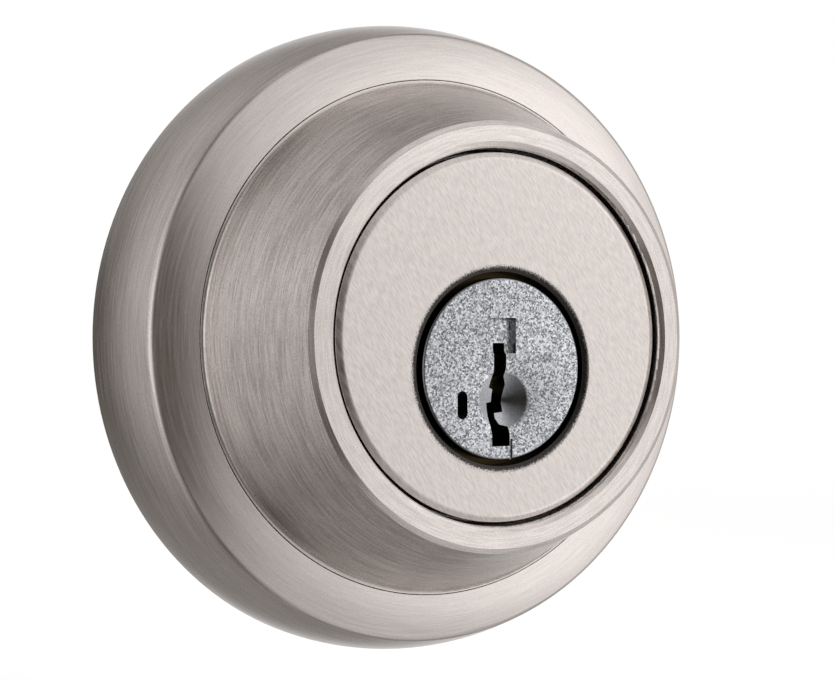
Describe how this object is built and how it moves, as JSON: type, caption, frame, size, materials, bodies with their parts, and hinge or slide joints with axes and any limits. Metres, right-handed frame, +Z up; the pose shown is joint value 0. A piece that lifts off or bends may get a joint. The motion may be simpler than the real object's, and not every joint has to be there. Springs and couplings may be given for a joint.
{
  "type": "deadbolt lock, outside half",
  "caption": "Round stepped rose with a tapered free-turning collar, a face plate and an offset keyed plug; two screw posts and a flat torque blade behind.",
  "frame": {"origin": "centre of the rose on the door face", "axes": "-Y out of the door along the rose's axis, +Z up, +X to the right seen from outside"},
  "size_m": [0.0666, 0.0796, 0.0666],
  "materials": {
    "rose_satin": "satin nickel, brushed round the axis",
    "collar_satin": "satin nickel, brushed round the axis",
    "plate_satin": "satin nickel, straight fine grain",
    "plug_zinc": "tumbled zinc, fine sparkle",
    "cast_zinc": "cast zinc, matt",
    "gasket_foam": "closed cell foam",
    "adapter_plastic": "moulded plastic",
    "spring_steel": "spring steel",
    "cylinder_brass": "turned brass",
    "plate_steel": "zinc plated steel",
    "screw_steel": "bright zinc plate",
    "carrier_zinc": "cast zinc",
    "bar_brass": "extruded brass",
    "pin_brass": "turned brass",
    "rack_steel": "sintered steel",
    "hard_steel": "hardened steel",
    "blade_steel": "zinc plated steel"
  },
  "bodies": {
    "lock": {"rose": "rose_satin", "face_plate": "plate_satin", "chassis": "cast_zinc", "door_gasket": "gasket_foam", "adapter_ring": "adapter_plastic", "wave_washer": "spring_steel", "cylinder_body": "cylinder_brass", "cylinder_retainer": "plate_steel", "retainer_screws": "screw_steel"},
    "collar": {"collar": "collar_satin"},
    "plug": {"plug": "plug_zinc", "pin_cap": "spring_steel", "pin_spring_1": "spring_steel", "pin_spring_2": "spring_steel", "pin_spring_3": "spring_steel", "pin_spring_4": "spring_steel", "pin_spring_5": "spring_steel", "carrier_spring": "spring_steel", "drill_balls": "hard_steel", "plug_clip": "spring_steel", "blade_cap": "plate_steel"},
    "carrier": {"carrier": "carrier_zinc", "spring_catch": "spring_steel", "bar_springs": "spring_steel"},
    "locking_bar": {"locking_bar": "bar_brass"},
    "torque_blade": {"torque_blade": "blade_steel"},
    "pin_1": {"pin_1": "pin_brass"},
    "rack_1": {"rack_1": "rack_steel"},
    "pin_2": {"pin_2": "pin_brass"},
    "rack_2": {"rack_2": "rack_steel"},
    "pin_3": {"pin_3": "pin_brass"},
    "rack_3": {"rack_3": "rack_steel"},
    "pin_4": {"pin_4": "pin_brass"},
    "rack_4": {"rack_4": "rack_steel"},
    "pin_5": {"pin_5": "pin_brass"},
    "rack_5": {"rack_5": "rack_steel"}
  },
  "joints": [
    {"name": "collar_spin", "type": "hinge", "parent": "lock", "child": "collar", "pos_m": [0, -0.015, 0], "axis": [0, 1, 0], "continuous": true},
    {"name": "plug_turn", "type": "hinge", "parent": "lock", "child": "plug", "pos_m": [0, -0.01, -0.00306], "axis": [0, 1, 0], "range_deg": [-90, 90]},
    {"name": "blade_turn", "type": "hinge", "parent": "plug", "child": "torque_blade", "pos_m": [0, 0.0102, -0.00306], "axis": [0, 1, 0], "range_deg": [0, 90]},
    {"name": "carrier_push", "type": "slide", "parent": "plug", "child": "carrier", "axis": [0, 1, 0], "range_m": [0, 0.0019], "stiffness_N_per_m": 200, "springref_m": -0.003},
    {"name": "bar_drop", "type": "slide", "parent": "carrier", "child": "locking_bar", "axis": [1, 0, 0], "range_m": [-0.0006, 0]},
    {"name": "pin_1_lift", "type": "slide", "parent": "plug", "child": "pin_1", "axis": [0, 0, 1], "range_m": [0, 0.003], "stiffness_N_per_m": 20, "springref_m": -0.004, "deforming": ["pin_spring_1"]},
    {"name": "pin_2_lift", "type": "slide", "parent": "plug", "child": "pin_2", "axis": [0, 0, 1], "range_m": [0, 0.003], "stiffness_N_per_m": 20, "springref_m": -0.004, "deforming": ["pin_spring_2"]},
    {"name": "pin_3_lift", "type": "slide", "parent": "plug", "child": "pin_3", "axis": [0, 0, 1], "range_m": [0, 0.003], "stiffness_N_per_m": 20, "springref_m": -0.004, "deforming": ["pin_spring_3"]},
    {"name": "pin_4_lift", "type": "slide", "parent": "plug", "child": "pin_4", "axis": [0, 0, 1], "range_m": [0, 0.003], "stiffness_N_per_m": 20, "springref_m": -0.004, "deforming": ["pin_spring_4"]},
    {"name": "pin_5_lift", "type": "slide", "parent": "plug", "child": "pin_5", "axis": [0, 0, 1], "range_m": [0, 0.003], "stiffness_N_per_m": 20, "springref_m": -0.004, "deforming": ["pin_spring_5"]},
    {"name": "rack_1_lift", "type": "slide", "parent": "carrier", "child": "rack_1", "axis": [0, 0, 1], "range_m": [0, 0.003]},
    {"name": "rack_2_lift", "type": "slide", "parent": "carrier", "child": "rack_2", "axis": [0, 0, 1], "range_m": [0, 0.003]},
    {"name": "rack_3_lift", "type": "slide", "parent": "carrier", "child": "rack_3", "axis": [0, 0, 1], "range_m": [0, 0.003]},
    {"name": "rack_4_lift", "type": "slide", "parent": "carrier", "child": "rack_4", "axis": [0, 0, 1], "range_m": [0, 0.003]},
    {"name": "rack_5_lift", "type": "slide", "parent": "carrier", "child": "rack_5", "axis": [0, 0, 1], "range_m": [0, 0.003]}
  ],
  "couplings": [
    {"joint": "rack_1_lift", "follows": "pin_1_lift", "ratio": 1},
    {"joint": "rack_2_lift", "follows": "pin_2_lift", "ratio": 1},
    {"joint": "rack_3_lift", "follows": "pin_3_lift", "ratio": 1},
    {"joint": "rack_4_lift", "follows": "pin_4_lift", "ratio": 1},
    {"joint": "rack_5_lift", "follows": "pin_5_lift", "ratio": 1}
  ]
}
